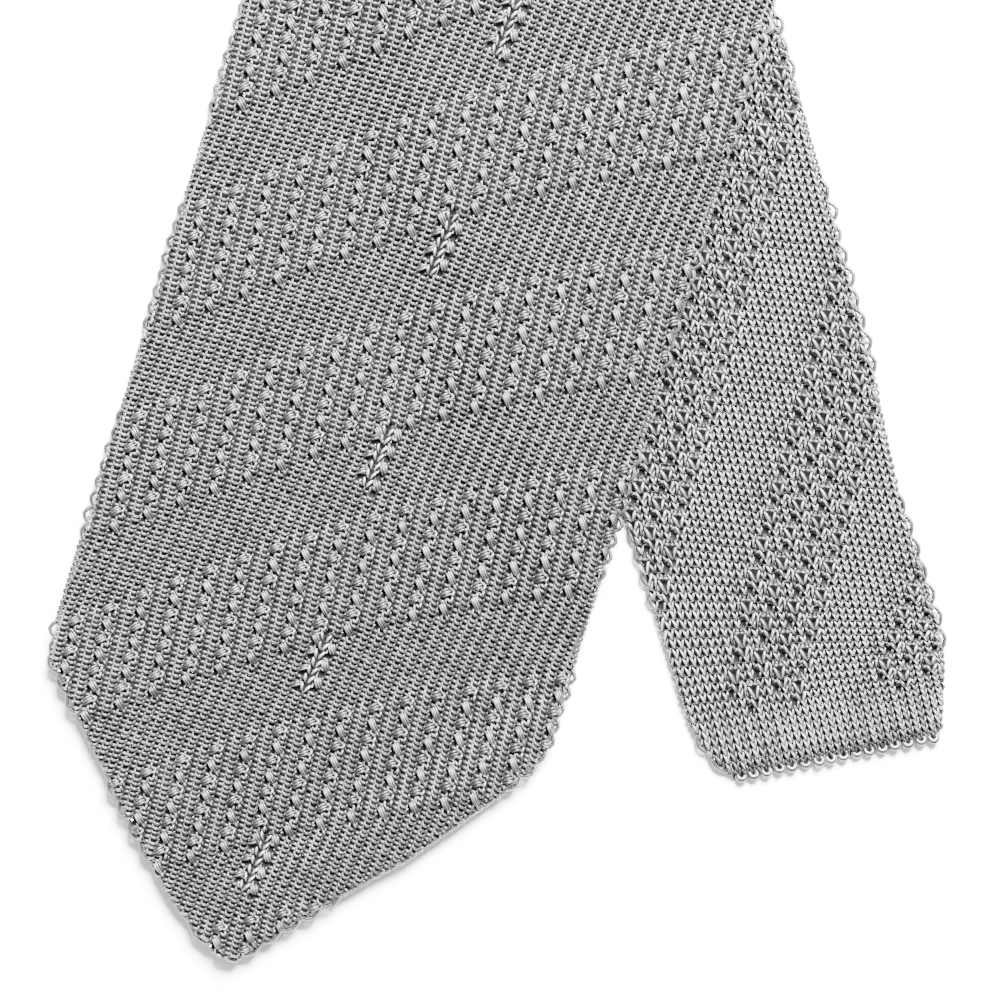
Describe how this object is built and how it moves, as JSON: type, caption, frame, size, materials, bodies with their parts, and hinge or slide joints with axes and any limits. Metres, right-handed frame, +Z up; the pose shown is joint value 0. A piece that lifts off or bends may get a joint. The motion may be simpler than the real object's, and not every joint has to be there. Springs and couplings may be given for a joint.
{
  "type": "knit tie",
  "caption": "Long grey silk knit tie lying flat, pointed wide blade over the narrow tail, neck folded over above, with raised diagonal bands of bubble stitch.",
  "frame": {"origin": "middle of the lying tie's outline, on the surface that it rests on", "axes": "+Z up; +Y from the tip of the blade towards the fold at the neck; +X to the right, seen from above"},
  "size_m": [0.1492, 0.728, 0.007],
  "materials": {
    "silk_knit": "silver-grey silk yarn, knitted, with a soft sheen",
    "edge_knit": "the same yarn, denser along hems and cast-off loops"
  },
  "bodies": {
    "root": {"wide_blade": "silk_knit", "point_hem_left": "edge_knit", "point_hem_right": "edge_knit", "neck_band": "silk_knit", "narrow_tail": "silk_knit", "tail_end_edge": "edge_knit"}
  },
  "joints": []
}
